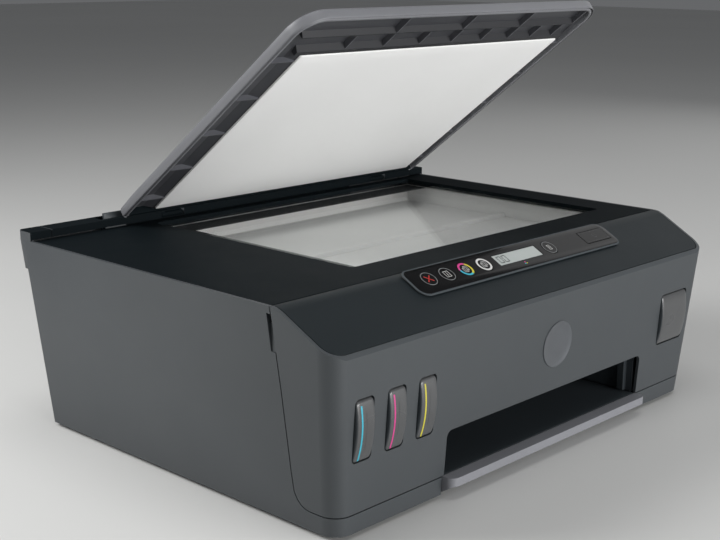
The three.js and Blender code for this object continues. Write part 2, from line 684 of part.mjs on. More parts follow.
const STATION = { x: [152, 200], y: [0, 60], z: [WALL + GAP, 50], wall: 4, cup: 10 };
const stationBlock = box(STATION.x, STATION.y, STATION.z);
const stationCup = box(
  widened(STATION.x, -STATION.wall), widened(STATION.y, -STATION.wall - 2),
  [STATION.z[1] - STATION.cup, STATION.z[1] + 10]);
piece("service_station", cut(stationBlock, stationCup), material(COLORS.inner, 0.7));

// ---- electronics --------------------------------------------------------------------------

const SOCKET_REAR = 156.5;             // how far back the sockets reach, just inside the rear wall

/** The control board with its three large chips. */
function mainBoard() {
  const board = box([70, 190], [100, 146], [21, 22.6]);
  const chips = [[90, 112], [125, 118], [150, 108]].map(
    ([x, y]) => box([x, x + 14], [y, y + 12], [22, 25]));
  return union(board, ...chips);
}

piece("main_board", mainBoard(), material(COLORS.board, 0.5));

const usbShell = box(widened(USB.x, -1), [134, SOCKET_REAR], widened(USB.z, -1));
const usbMouth = box(widened(USB.x, -2.5), [142, FAR], widened(USB.z, -2.5));
piece("usb_port", cut(usbShell, usbMouth), material(COLORS.steel, 0.4, 0.8));

/** The power supply's block with the mains inlet on its rear face. */
function powerSupply() {
  const block = box([-200, -132], [96, 148], [WALL + GAP, 60]);
  const inlet = box(widened(INLET.x, -1), [146, SOCKET_REAR], widened(INLET.z, -1));
  const mouth = box(widened(INLET.x, -5), [148, FAR], widened(INLET.z, -4));
  return cut(union(block, inlet), mouth);
}

piece("power_supply", powerSupply(), material(COLORS.inner, 0.6));

export default printer;
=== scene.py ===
"""Looks of an ink-tank inkjet printer whose scanner lid stands open.

Local shapes are written in millimetres in the frame of the part that they belong to (case, lid, sloping
control panel, leaning door face), and are placed in the row frame, in metres, when they become objects.
"""

import json
import math

import bmesh
import bpy
from mathutils import Matrix, Vector


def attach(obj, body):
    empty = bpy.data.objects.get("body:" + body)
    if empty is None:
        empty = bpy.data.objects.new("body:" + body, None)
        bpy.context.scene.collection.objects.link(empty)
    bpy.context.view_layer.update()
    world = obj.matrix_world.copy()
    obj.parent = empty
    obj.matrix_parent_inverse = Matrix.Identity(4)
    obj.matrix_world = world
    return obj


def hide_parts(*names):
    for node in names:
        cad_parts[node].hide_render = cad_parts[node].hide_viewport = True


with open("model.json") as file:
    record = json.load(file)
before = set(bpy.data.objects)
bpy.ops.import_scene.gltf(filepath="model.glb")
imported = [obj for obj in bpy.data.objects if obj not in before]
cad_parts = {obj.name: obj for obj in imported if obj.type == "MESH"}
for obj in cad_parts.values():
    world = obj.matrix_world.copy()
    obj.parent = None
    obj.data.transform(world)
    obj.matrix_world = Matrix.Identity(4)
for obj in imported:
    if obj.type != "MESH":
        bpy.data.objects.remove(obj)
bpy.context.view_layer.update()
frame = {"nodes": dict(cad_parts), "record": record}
nodes = frame["nodes"]

# ---- driving dimensions, in millimetres ---------------------------------------------------------

MM = 0.001
FOOT = 3.0                              # the case stands this far above the floor
LID_OPEN = math.radians(37.65)
LID_HINGE = (152.0, 149.3)              # Y and Z of the hinge line above the case floor
LID = {"x": (-141.0, 207.0), "y": (-271.0, -5.0), "thick": 8.2, "front": 22.0, "rear": 5.0}
PAD = {"x": (-112.1, 192.1), "y": (-225.7, -12.0)}
SLOPE_TOP = (-122.0, 143.8)
SLOPE_ANGLE = math.atan2(143.8 - 124.2, 36.0)
DOOR_FACE_Y = -153.15
DOOR_LEAN = math.atan2(10.1, 146.3)
DOOR_SKIN = -3.0                        # the door's outer face in its own leaning frame

LEDGE = {"foot": 148.0, "front": 148.5}  # the covers' faces above and behind these belong to the ledge
GLASS = {"x": (-116.5, 194.5), "y": (-80.5, 142.5)}
GLASS_FOOT = 139.8
PAINTED_SHADE_BAND = {"left": 24.0, "rear": 24.0}   # widths of the painted shade band, partly under the deck's edge

POD = {"x": (-109.2, 130.8), "y": (-19.6, 7.4), "foot": -1.5, "base": 1.1, "rim": 1.75, "top": 2.0}
KEY_Y = -5.5
KEY_TOP = 2.2
KEY_HOLE = 7.2                          # radius of the holes for the round keys
POWER_HOLE = {"x": (92.0, 125.5), "y": (-12.4, 1.4)}
POWER_ICON = 108.8
KEYS = {"cancel": -91.0, "info": -71.7, "color_copy": -51.4, "mono_copy": -30.8, "resume": 48.6}
LCD = {"x": (-16.0, 35.0), "y": (-10.4, 0.4), "top": 1.8}

WINDOW = {"z": (48.7, 91.5), "radius": 3.5, "gap": 0.8, "edge": 3.0, "crown": 9.2}
WINDOWS = {                             # middle and width of each window
    "cyan": (-190.4, 17.7), "magenta": (-160.4, 17.7), "yellow": (-130.5, 17.7), "black": (177.9, 39.3)}


def local_frame(y=0.0, z=0.0, tilt=0.0):
    """Millimetres in a frame tipped about X, whose origin is z above the case floor, to row metres."""
    place = Matrix.Translation((0.0, y * MM, (z + FOOT) * MM))
    return place @ Matrix.Rotation(tilt, 4, "X") @ Matrix.Scale(MM, 4)


CASE_FRAME = local_frame()
LID_FRAME = local_frame(*LID_HINGE, -LID_OPEN)
SLOPE_FRAME = local_frame(*SLOPE_TOP, SLOPE_ANGLE)
DOOR_FRAME = local_frame(DOOR_FACE_Y, 0.0, DOOR_LEAN)

# ---- materials ----------------------------------------------------------------------------------


def rgb(red, green, blue):
    """A linear colour from 0-255 display values."""
    def linear(value):
        share = value / 255
        return share / 12.92 if share <= 0.04045 else ((share + 0.055) / 1.055) ** 2.4
    return (linear(red), linear(green), linear(blue), 1.0)


def shade(color, factor):
    return tuple(min(1.0, c * factor) for c in color[:3]) + (1.0,)


class Look:
    """A procedural material: base colour and roughness that vary a little, with a fine bump."""

    def __init__(self, name, color, roughness, metallic=0.0, **sockets):
        self.material = bpy.data.materials.new(name)
        self.material.use_nodes = True
        self.tree = self.material.node_tree
        self.shader = self.tree.nodes["Principled BSDF"]
        self.shader.inputs["Metallic"].default_value = metallic
        for socket, value in sockets.items():
            self.shader.inputs[socket.replace("_", " ")].default_value = value
        self.place = self.tree.nodes.new("ShaderNodeTexCoord").outputs["Object"]
        self.color = color
        self.roughness = roughness

    def noise(self, scale, detail=3.0, stretch=None):
        node = self.tree.nodes.new("ShaderNodeTexNoise")
        node.inputs["Scale"].default_value = scale
        node.inputs["Detail"].default_value = detail
        source = self.place
        if stretch:
            mapping = self.tree.nodes.new("ShaderNodeMapping")
            mapping.inputs["Scale"].default_value = stretch
            self.tree.links.new(source, mapping.inputs["Vector"])
            source = mapping.outputs["Vector"]
        self.tree.links.new(source, node.inputs["Vector"])
        return node.outputs["Fac"]

    def ramp(self, source, stops):
        """Colours over a value; stops are (position, colour)."""
        node = self.tree.nodes.new("ShaderNodeValToRGB")
        while len(node.color_ramp.elements) < len(stops):
            node.color_ramp.elements.new(0.5)
        for element, (position, color) in zip(node.color_ramp.elements, stops):
            element.position = position
            element.color = color
        self.tree.links.new(source, node.inputs["Fac"])
        return node.outputs["Color"]

    def spread(self, source, low, high, start=0.3, end=0.7):
        """A value between start and end spread over low to high."""
        node = self.tree.nodes.new("ShaderNodeMapRange")
        for socket, value in zip(("From Min", "From Max", "To Min", "To Max"), (start, end, low, high)):
            node.inputs[socket].default_value = value
        self.tree.links.new(source, node.inputs["Value"])
        return node.outputs["Result"]

    def uneven(self, amount=0.06, scale=9.0):
        """Base colour that drifts a little over the piece."""
        stops = [(0.3, shade(self.color, 1 - amount)), (0.7, shade(self.color, 1 + amount))]
        color = self.ramp(self.noise(scale), stops)
        self.tree.links.new(color, self.shader.inputs["Base Color"])
        return self

    def gloss(self, amount=0.05, scale=30.0, stretch=None):
        source = self.noise(scale, 4.0, stretch)
        value = self.spread(source, self.roughness - amount, self.roughness + amount)
        self.tree.links.new(value, self.shader.inputs["Roughness"])
        return self

    def grain(self, size, depth, strength=0.5, stretch=None):
        """A fine bump; size and depth are in millimetres."""
        bump = self.tree.nodes.new("ShaderNodeBump")
        bump.inputs["Strength"].default_value = strength
        bump.inputs["Distance"].default_value = depth * MM
        self.tree.links.new(self.noise(1 / (size * MM), 2.0, stretch), bump.inputs["Height"])
        self.tree.links.new(bump.outputs["Normal"], self.shader.inputs["Normal"])
        return self


def textured_plastic(name, color, roughness=0.5, drift=0.05, **sockets):
    """Moulded plastic with a fine spark-eroded texture."""
    return Look(name, color, roughness, **sockets).uneven(drift).gloss(0.02).grain(0.7, 0.02, 0.35).material


def smooth_plastic(name, color, roughness=0.3, drift=0.04, **sockets):
    look = Look(name, color, roughness, **sockets)
    return look.uneven(drift).gloss(0.03, 12).grain(4, 0.01, 0.15).material


def print_ink(name, color):
    return Look(name, color, 0.45).uneven(0.05, 200).gloss(0.05, 300).grain(0.4, 0.004, 0.2).material


def metal(name, color, roughness=0.35):
    brushed = (1.0, 25.0, 25.0)
    look = Look(name, color, roughness, metallic=1.0)
    return look.uneven(0.06, 20).gloss(0.08, 60, brushed).grain(0.5, 0.01, 0.2, brushed).material


def ink_vessel(name, color, level=62.0):
    """A cloudy tank with ink up to a level, in millimetres above the floor."""
    look = Look(name, color, 0.28)
    split = look.tree.nodes.new("ShaderNodeSeparateXYZ")
    look.tree.links.new(look.place, split.inputs[0])
    height = look.spread(split.outputs["Z"], 0.0, 1.0, (level - 1) * MM, (level + 1) * MM)
    empty = tuple(0.35 + 0.3 * c for c in color[:3]) + (1.0,)
    stops = [(0.0, shade(color, 0.85)), (0.45, color), (0.55, empty), (1.0, shade(empty, 1.1))]
    look.tree.links.new(look.ramp(height, stops), look.shader.inputs["Base Color"])
    return look.gloss(0.05, 40).grain(1.5, 0.02, 0.3).material


def clear_glass(name):
    """Thin clear glass: it mirrors more at a grazing angle and otherwise lets light straight through."""
    look = Look(name, rgb(232, 238, 236), 0.05, metallic=1.0)
    fresnel = look.tree.nodes.new("ShaderNodeFresnel")
    fresnel.inputs["IOR"].default_value = 1.5
    strength = look.spread(fresnel.outputs[0], 0.02, 0.16, 0.04, 0.5)
    look.tree.links.new(strength, look.shader.inputs["Alpha"])
    return look.uneven(0.01, 5).gloss(0.02, 8).material


BODY = rgb(62, 66, 69)
DARK = rgb(16, 22, 25)
SLOPE = rgb(29, 35, 38)
LOOKS = {
    "body_grey": textured_plastic("body_grey", BODY, 0.46),
    "dark_top": textured_plastic("dark_top", DARK, 0.6, Specular_IOR_Level=0.04),
    "fascia": textured_plastic("fascia", SLOPE, 0.48, Specular_IOR_Level=0.2),
    "lid_grey": textured_plastic("lid_grey", rgb(116, 117, 121), 0.45),
    "lid_white": Look("lid_white", rgb(245, 245, 244), 0.5).uneven(0.02, 6).gloss(0.06, 15).grain(
        1.2, 0.015, 0.3).material,
    "tub_light": textured_plastic("tub_light", rgb(238, 238, 236), 0.55, 0.03),
    "bay_grey": textured_plastic("bay_grey", rgb(52, 58, 62), 0.45),
    "tray_grey": textured_plastic("tray_grey", rgb(130, 131, 136), 0.45),
    "inner_black": textured_plastic("inner_black", rgb(26, 27, 29), 0.6, 0.12),
    "gloss_black": smooth_plastic("gloss_black", rgb(15, 15, 16), 0.12, 0.1, Specular_IOR_Level=0.25),
    "smoke_lens": smooth_plastic("smoke_lens", rgb(74, 75, 76), 0.28, 0.12, Coat_Weight=0.2),
    "lcd": smooth_plastic("lcd", rgb(172, 178, 176), 0.25),
    "rubber": textured_plastic("rubber", rgb(24, 24, 25), 0.8, 0.1),
    "steel": metal("steel", rgb(180, 181, 184)),
    "board_green": smooth_plastic("board_green", rgb(26, 92, 58), 0.35, 0.2),
    "latch_blue": smooth_plastic("latch_blue", rgb(43, 95, 140), 0.35),
    "gear_white": smooth_plastic("gear_white", rgb(214, 212, 205), 0.4),
    "ink_cyan": ink_vessel("ink_cyan", rgb(40, 150, 175)),
    "ink_magenta": ink_vessel("ink_magenta", rgb(175, 50, 115)),
    "ink_yellow": ink_vessel("ink_yellow", rgb(190, 172, 50)),
    "ink_black": ink_vessel("ink_black", rgb(28, 29, 31)),
    "platen_glass": clear_glass("platen_glass"),
}
LINER = textured_plastic("lid_liner", rgb(60, 61, 65), 0.5)
# painted shade: a darker copy of the liner plastic, for the steps
LINER_PAINTED_SHADE = textured_plastic("lid_liner_painted_shade", rgb(33, 34, 38), 0.55)
# painted light: a lighter copy of the liner plastic, for the ribs
LINER_PAINTED_LIGHT = textured_plastic("lid_liner_painted_light", rgb(82, 83, 88), 0.5)
POD_RIM = smooth_plastic("pod_rim", rgb(66, 72, 76), 0.6, Specular_IOR_Level=0.3)
BADGE = smooth_plastic("badge", rgb(96, 99, 103), 0.3, 0.05, Metallic=0.4)
PRINT_WHITE = print_ink("print_white", rgb(205, 205, 203))
PRINT_GREY = print_ink("print_grey", rgb(120, 122, 123))
PRINT_FAINT = print_ink("print_faint", rgb(70, 70, 71))
PRINT_RED = print_ink("print_red", rgb(180, 42, 34))
PRINT_DARK = print_ink("print_dark", rgb(40, 43, 42))
STRIPES = {
    "cyan": print_ink("stripe_cyan", rgb(52, 168, 190)),
    "magenta": print_ink("stripe_magenta", rgb(200, 58, 132)),
    "yellow": print_ink("stripe_yellow", rgb(200, 190, 55)),
}

# ---- mesh helpers -------------------------------------------------------------------------------


def weld(bm, distance=1e-5):
    bmesh.ops.remove_doubles(bm, verts=bm.verts, dist=distance)


def shade_by_angle(target, degrees):
    """Smooth shading, with a hard edge wherever two faces meet at more than the angle."""
    for face in target.faces:
        face.smooth = True
    for edge in target.edges:
        if len(edge.link_faces) == 2:
            edge.smooth = edge.calc_face_angle(0.0) < math.radians(degrees)


def piece(name, bm, place, look, body, replaces=(), smooth=35.0):
    """Turn a local mesh into a named object that rides on a CAD body."""
    weld(bm)
    bmesh.ops.recalc_face_normals(bm, faces=bm.faces)
    shade_by_angle(bm, smooth)
    bm.transform(place)
    mesh = bpy.data.meshes.new(name)
    bm.to_mesh(mesh)
    bm.free()
    mesh.materials.append(look)
    made = bpy.data.objects.new(name, mesh)
    bpy.context.scene.collection.objects.link(made)
    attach(made, body)
    if replaces:
        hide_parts(*replaces)
    return made


def span(low_high, inset=0.0):
    return (low_high[0] + inset, low_high[1] - inset)


def rounded(x, y, radii, corner=8, side=1):
    """A rounded rectangle, anticlockwise; radii is one value or four: right rear, left rear, left front,
    right front. Each straight side has `side` steps."""
    if not hasattr(radii, "__len__"):
        radii = (radii,) * 4
    corners = ((x[1], y[1], -1, -1), (x[0], y[1], 1, -1), (x[0], y[0], 1, 1), (x[1], y[0], -1, 1))
    points = []
    for quarter, ((cx, cy, sx, sy), radius) in enumerate(zip(corners, radii)):
        radius = max(radius, 0.02)
        for step in range(corner + 1):
            angle = math.pi / 2 * (quarter + step / corner)
            centre_x, centre_y = cx + sx * radius, cy + sy * radius
            points.append((centre_x + radius * math.cos(angle), centre_y + radius * math.sin(angle)))
        if side > 1:
            end_x, end_y = points[-1]
            next_x, next_y, next_sx, next_sy = corners[(quarter + 1) % 4]
            next_radius = max(radii[(quarter + 1) % 4], 0.02)
            next_angle = math.pi / 2 * (quarter + 1)
            goal_x = next_x + next_sx * next_radius + next_radius * math.cos(next_angle)
            goal_y = next_y + next_sy * next_radius + next_radius * math.sin(next_angle)
            for step in range(1, side):
                share = step / side
                points.append((end_x + (goal_x - end_x) * share, end_y + (goal_y - end_y) * share))
    return points


def loft(bm, loops, close_start=True, close_end=True):
    """Skin closed loops of equal length, one after another."""
    rows = [[bm.verts.new(point) for point in loop] for loop in loops]
    count = len(rows[0])
    for lower, upper in zip(rows, rows[1:]):
        for i in range(count):
            j = (i + 1) % count
            bm.faces.new((lower[i], lower[j], upper[j], upper[i]))
    if close_start:
        bm.faces.new(list(reversed(rows[0])))
    if close_end:
        bm.faces.new(rows[-1])
    return bm


def plate(x, y, z, radii, edge=0.4, foot=0.0, steps=3, bm=None):
    """A rounded plate with its upper rim rounded by edge, and its lower rim by foot."""
    bm = bm or bmesh.new()
    if not hasattr(radii, "__len__"):
        radii = (radii,) * 4
    profile = []
    if foot:
        for step in range(steps + 1):
            angle = math.pi / 2 * step / steps
            profile.append((foot * (1 - math.sin(angle)), z[0] + foot * (1 - math.cos(angle))))
    else:
        profile.append((0.0, z[0]))
    for step in range(steps + 1):
        angle = math.pi / 2 * step / steps
        profile.append((edge * (1 - math.cos(angle)), z[1] - edge * (1 - math.sin(angle))))
    loops = []
    for inset, height in profile:
        rim = rounded(span(x, inset), span(y, inset), [r - inset for r in radii])
        loops.append([(px, py, height) for px, py in rim])
    return loft(bm, loops)


def block(bm, x, y, z):
    """A plain box, as part of a larger mesh."""
    corners = [bm.verts.new((px, py, pz)) for pz in z for py in y for px in x]
    for face in ((0, 2, 3, 1), (4, 5, 7, 6), (0, 1, 5, 4), (2, 6, 7, 3), (0, 4, 6, 2), (1, 3, 7, 5)):
        bm.faces.new([corners[i] for i in face])
    return bm


def ring(bm, centre, radii, z, start=0.0, sweep=360.0, steps=48):
    """A flat ring or arc with a square section."""
    full = sweep >= 360
    count = max(6, round(steps * sweep / 360))
    rows = []
    for step in range(count if full else count + 1):
        angle = math.radians(start + sweep * step / count)
        across = (math.cos(angle), math.sin(angle))
        section = ((radii[0], z[0]), (radii[1], z[0]), (radii[1], z[1]), (radii[0], z[1]))
        rows.append([
            bm.verts.new((centre[0] + r * across[0], centre[1] + r * across[1], h)) for r, h in section])
    pairs = list(zip(rows, rows[1:]))
    if full:
        pairs.append((rows[-1], rows[0]))
    else:
        bm.faces.new(rows[0])
        bm.faces.new(list(reversed(rows[-1])))
    for here, there in pairs:
        for i in range(4):
            j = (i + 1) % 4
            bm.faces.new((here[i], there[i], there[j], here[j]))
    return bm


def stroke(bm, points, width, z):
    """A printed line of square-ended segments through points."""
    for (x0, y0), (x1, y1) in zip(points, points[1:]):
        along = Vector((x1 - x0, y1 - y0, 0.0))
        reach = along.normalized() * width / 2
        side = Vector((-reach.y, reach.x, 0.0))
        start = Vector((x0, y0, 0.0)) - reach
        end = Vector((x1, y1, 0.0)) + reach
        corners = [start - side, end - side, end + side, start + side]
        loops = [[(c.x, c.y, height) for c in corners] for height in z]
        loft(bm, loops)
    return bm


def modify(target, kind, **settings):
    modifier = target.modifiers.new(kind.title(), kind)
    for key, value in settings.items():
        setattr(modifier, key, value)
    return modifier


def soften(name, width=0.5, segments=2, angle=28.0):
    """Round a CAD node's edges: merge its facets, bevel what is sharp and shade the rest smooth."""
    target = nodes[name]
    mesh = target.data
    custom = mesh.attributes.get("custom_normal")
    if custom:
        mesh.attributes.remove(custom)
    for polygon in mesh.polygons:
        polygon.use_smooth = True
    modify(target, "WELD", merge_threshold=1e-5)
    modify(
        target, "DECIMATE", decimate_type="DISSOLVE", angle_limit=math.radians(0.4), delimit={"MATERIAL"})
    modify(
        target, "BEVEL", width=width * MM, segments=segments, limit_method="ANGLE",
        angle_limit=math.radians(angle), miter_outer="MITER_ARC")
    modify(target, "WEIGHTED_NORMAL", weight=60, keep_sharp=True)


# ---- CAD nodes that keep their shape -------------------------------------------------------------

for row in frame["record"]["subparts"]:
    node = nodes[row["node"]]
    node.data.materials.clear()
    node.data.materials.append(LOOKS[row["material_slot"]])

ROUNDING = {
    "left_side_cover": 0.6, "right_side_cover": 0.6, "rear_cover": 0.6, "front_door": 0.6, "top_cover": 0.5,
    "control_fascia": 0.4, "output_tray": 1.2, "base_pan": 0.4, "output_bay": 0.5, "tray_extender": 0.8,
    "input_tray": 0.6, "input_tray_extension": 0.5, "paper_width_guide": 0.5, "scan_bar": 0.8,
}
for name in nodes:
    soften(name, ROUNDING.get(name, 0.3))


def paint_ledge():
    """The paper-feed ledge's top and front are dark like the deck; its back and sides are body grey."""
    foot, front = (LEDGE["foot"] + FOOT) * MM, LEDGE["front"] * MM
    for name in ("rear_cover", "left_side_cover", "right_side_cover"):
        cover = nodes[name].data
        cover.materials.append(LOOKS["dark_top"])
        for polygon in cover.polygons:
            faces_user = polygon.normal.z > 0.5 or polygon.normal.y < -0.5
            if faces_user and polygon.center.z > foot and polygon.center.y > front:
                polygon.material_index = 1


def paint_tub():
    """The scanner tub is light inside, towards the glass, and black outside."""
    tub = nodes["scanner_tub"].data
    tub.materials.append(LOOKS["inner_black"])
    low = [min(vertex.co[axis] for vertex in tub.vertices) for axis in range(3)]
    high = [max(vertex.co[axis] for vertex in tub.vertices) for axis in range(3)]
    for polygon in tub.polygons:
        for axis in range(3):
            under = polygon.normal[axis] < -0.5 and polygon.center[axis] < low[axis] + MM
            beyond = axis < 2 and polygon.normal[axis] > 0.5 and polygon.center[axis] > high[axis] - MM
            if under or beyond:
                polygon.material_index = 1


def make_glass_painted_shade():
    """Painted shade: a dark band under the glass along its left and rear edges."""
    z = (GLASS_FOOT - 0.14, GLASS_FOOT - 0.04)
    left, right = GLASS["x"]
    rear = GLASS["y"][1]
    inner = left + PAINTED_SHADE_BAND["left"]
    bm = bmesh.new()
    block(bm, (left, inner), GLASS["y"], z)
    block(bm, (inner, right), (rear - PAINTED_SHADE_BAND["rear"], rear), z)
    piece("glass_painted_shade", bm, CASE_FRAME, LOOKS["inner_black"], "printer_body")


nodes["paper_width_guide"].data.materials[0] = LOOKS["bay_grey"]
paint_ledge()
paint_tub()
make_glass_painted_shade()

# ---- lid ----------------------------------------------------------------------------------------


def lid_outline(inset):
    x, y = span(LID["x"], inset), span(LID["y"], inset)
    rear, front = LID["rear"] - inset, LID["front"] - inset
    return rounded(x, y, (rear, rear, front, front), corner=10, side=12)


def lid_ceiling(y):
    """The top surface falls away along the hinge edge, to clear the paper feed."""
    return min(LID["thick"], LID["thick"] + (y + 12.0) * (2.3 - LID["thick"]) / 8.0)


REAR_LIP_SHADE = {"deep": 6.0, "high": 4.5, "inset": 5.0}     # painted shade on the underside along the hinge edge


def paint_rear_lip_shade(cover):
    """Painted shade: the underside along the hinge edge gets the deck's dark material."""
    cover.data.materials.append(LOOKS["dark_top"])
    middle = sum(LID["x"]) / 2
    half = LID["x"][1] - middle - REAR_LIP_SHADE["inset"]
    to_lid = LID_FRAME.inverted()
    for polygon in cover.data.polygons:
        place = to_lid @ polygon.center
        along = abs(place.x - middle) < half
        if along and place.y > LID["y"][1] - REAR_LIP_SHADE["deep"] and place.z < REAR_LIP_SHADE["high"]:
            polygon.material_index = 1


def make_lid_cover():
    """A shallow moulded shell: ceiling, inner lip, groove, rolled outer rim and crowned top."""
    profile = [
        (4.6, 6.6), (4.6, 0.6), (4.3, 0.15), (3.6, 0.0), (2.6, 0.05), (2.2, 0.4), (2.1, 1.8), (0.95, 1.8),
        (0.85, 0.5), (0.6, 0.15), (0.3, 0.3), (0.05, 0.9), (0.0, 1.8), (0.0, 4.2), (0.0, 6.6), (0.25, 7.4),
        (0.8, 7.95), (1.8, 8.15), (8.0, 8.2), (20.0, 8.2)]
    loops = []
    for inset, height in profile:
        loops.append([(x, y, min(height, lid_ceiling(y))) for x, y in lid_outline(inset)])
    bm = loft(bmesh.new(), loops)
    cover = piece("lid_cover", bm, LID_FRAME, LOOKS["lid_grey"], "lid", ["lid_shell"], 50)
    paint_rear_lip_shade(cover)


LINER_DEPTH = 5.0                       # the liner's back sheet, measured from the pad's face
LINER_MARGIN = 4.9                      # from the lid's outline to the liner
LINER_CREST = 0.9                       # how near the ribs and the first step come to the pad's face
STEP_SLANT = 2.4                        # how far a step's front face leans
RIB = 1.1                               # thickness of a rib
ROW_A, ROW_B = -247.5, -230.8           # where the two steps stand
RIBS_A = (-32.6, 43.8, 116.4, 190.0)
RIBS_B = (-72.9, -32.7, 7.4, 45.0, 82.0, 116.7, 147.5, 177.3)
RIBS_BESIDE = (-219.0, -172.0, -125.0, -76.0, -30.0)


def make_liner_steps(left, right):
    """Two rows across the front, each with a slanting face, in a darker copy of the liner plastic as painted
    shade.
    """
    foot = LINER_DEPTH + 0.1
    bm = bmesh.new()
    for (x0, x1), crest, back, top in (
            ((left + 9, right - 9), ROW_A, ROW_A + RIB, LINER_CREST),
            ((PAD["x"][0] - 8, PAD["x"][1] + 1), ROW_B, PAD["y"][0] - 1.2, 0.3)):
        section = ((crest - STEP_SLANT, foot), (crest, top), (back, top), (back, foot))
        loft(bm, [[(x, y, z) for y, z in section] for x in (x0, x1)])
    piece("lid_liner_steps", bm, LID_FRAME, LINER_PAINTED_SHADE, "lid", [], 30)


def make_liner_ribs(left, right, front):
    """Short ribs across the two rows, and down both sides of the pad, in a lighter copy of the liner plastic
    as painted light.
    """
    depth = (LINER_CREST, LINER_DEPTH + 0.1)
    bm = bmesh.new()
    for x in RIBS_A:
        block(bm, (x, x + RIB), (front + 0.4, ROW_A + 0.2), depth)
    for x in RIBS_B:
        block(bm, (x, x + RIB), (ROW_A + 0.9, ROW_B + 0.2), depth)
    for y in RIBS_BESIDE:
        block(bm, (left + 0.4, PAD["x"][0] - 0.8), (y, y + RIB), depth)
        block(bm, (PAD["x"][1] + 0.8, right - 0.4), (y, y + RIB), depth)
    piece("lid_liner_ribs", bm, LID_FRAME, LINER_PAINTED_LIGHT, "lid", [], 30)


def make_liner_ramp():
    """The border on the pad's left slopes up to the pad."""
    outer, inner = PAD["x"][0] - 9.5, PAD["x"][0] - 0.6
    back = LINER_DEPTH + 0.2
    section = ((outer, LINER_DEPTH), (inner, 1.6), (inner, back), (outer, back))
    bm = loft(bmesh.new(), [[(x, y, z) for x, z in section] for y in (PAD["y"][0] - 4, PAD["y"][1])])
    piece("lid_liner_ramp", bm, LID_FRAME, LINER, "lid")


def make_lid_liner():
    """The dark liner round the pad: a thin back sheet with steps, ribs and a ramp on it."""
    left, right = span(LID["x"], LINER_MARGIN)
    front, rear = LID["y"][0] + LINER_MARGIN, LID["y"][1] - 7.5
    make_liner_steps(left, right)
    make_liner_ribs(left, right, front)
    sheet = plate((left, right), (front, rear), (LINER_DEPTH, 6.3), (3, 3, 17.1, 17.1), 0.05)
    piece("lid_liner", sheet, LID_FRAME, LINER, "lid", [], 30)
    make_liner_ramp()


def make_document_pad():
    """A white film sheet on thin foam, its rim rounded and its face very slightly crowned."""
    loops = []
    profile = (
        (0.0, 4.9), (0.0, 0.9), (0.15, 0.5), (0.5, 0.22), (1.2, 0.1), (12.0, 0.06), (45.0, 0.0), (80.0, 0.0))
    for inset, height in profile:
        rim = rounded(span(PAD["x"], inset), span(PAD["y"], inset), max(2.0 - inset, 0.3), 5, 10)
        loops.append([(x, y, height) for x, y in rim])
    bm = loft(bmesh.new(), loops)
    pad = piece("document_pad", bm, LID_FRAME, LOOKS["lid_white"], "lid", ["lid_pad"], 40)


def make_lid_shadow_gaps():
    """Painted shade: black strips at the bottom of the groove inside the rolled rim, and in the gap round
    the pad.
    """
    bm = bmesh.new()
    outer, inner = lid_outline(1.0), lid_outline(2.1)
    loops = []
    for outline, z in ((outer, 1.9), (outer, 1.1), (inner, 1.1), (inner, 1.9)):
        loops.append([(x, y, min(z, lid_ceiling(y) - 0.4)) for x, y in outline])
    loft(bm, loops, False, False)
    piece("lid_groove_shade", bm, LID_FRAME, LOOKS["inner_black"], "lid")
    gap = plate(span(PAD["x"], -1.1), span(PAD["y"], -1.1), (1.6, LINER_DEPTH), 2.0, 0.05)
    piece("pad_gap_shade", gap, LID_FRAME, LOOKS["inner_black"], "lid")


make_lid_cover()
make_lid_liner()
make_lid_shadow_gaps()
make_document_pad()

# ---- ink windows --------------------------------------------------------------------------------


def lens_front(z):
    """How far the lens stands forward at a height: most at the middle, least at its ends."""
    low, high = span(WINDOW["z"], WINDOW["gap"])
    share = (z - low) / (high - low)
    return WINDOW["edge"] + 4 * (WINDOW["crown"] - WINDOW["edge"]) / 2 * share * (1 - share)


def make_window(name, x, width):
    """A bulging lens with a rounded front rim and sides darkened as painted shade, clipped in behind the
    door by a flange.
    """
    across = (x - width / 2 + WINDOW["gap"], x + width / 2 - WINDOW["gap"])
    height = span(WINDOW["z"], WINDOW["gap"])
    radius = WINDOW["radius"] - WINDOW["gap"]
    loops = []
    for inset, y in ((-2.0, 1.6), (-2.0, -0.2), (0.0, -0.2)):
        rim = rounded(span(across, inset), span(height, inset), radius, 6, 16)
        loops.append([(px, y, pz) for px, pz in rim])
    half = (across[1] - across[0]) / 2
    rounding = ((0.0, 1.5), (0.12, 0.9), (0.5, 0.42), (1.1, 0.12), (1.8, 0.0))
    fills = [(1.8 + (half - 2.0) * share, 0.0) for share in (0.3, 0.6, 1.0)]
    for inset, back in (*rounding, *fills):
        rim = rounded(span(across, inset), span(height, inset), max(radius - inset, 0.1), 6, 16)
        loops.append([(px, back - lens_front(pz), pz) for px, pz in rim])
    lens = piece(
        f"ink_window_{name}", loft(bmesh.new(), loops), DOOR_FRAME, LOOKS["smoke_lens"], "front_door",
        [f"tank_window_{name}"], 40)
    # painted shade: the lens's side faces get the darker bay grey
    lens.data.materials.append(LOOKS["bay_grey"])
    for polygon in lens.data.polygons:
        if abs(polygon.normal.x) > 0.6:
            polygon.material_index = 1
    return across, height


def make_stripe(name, x, height):
    """A coloured line that follows the lens's curve."""
    bm = bmesh.new()
    low, high = height[0] + 1.2, height[1] - 3.2
    steps = 24
    half, sunk, proud = 0.65, 0.1, 0.06
    loops = []
    for step in range(steps + 1):
        z = low + (high - low) * step / steps
        front = -lens_front(z)
        back = front + sunk
        top = front - proud
        section = ((x - half, back), (x + half, back), (x + half, top), (x - half, top))
        loops.append([(px, py, z) for px, py in section])
    loft(bm, loops)
    piece(f"ink_stripe_{name}", bm, DOOR_FRAME, STRIPES[name], "front_door")


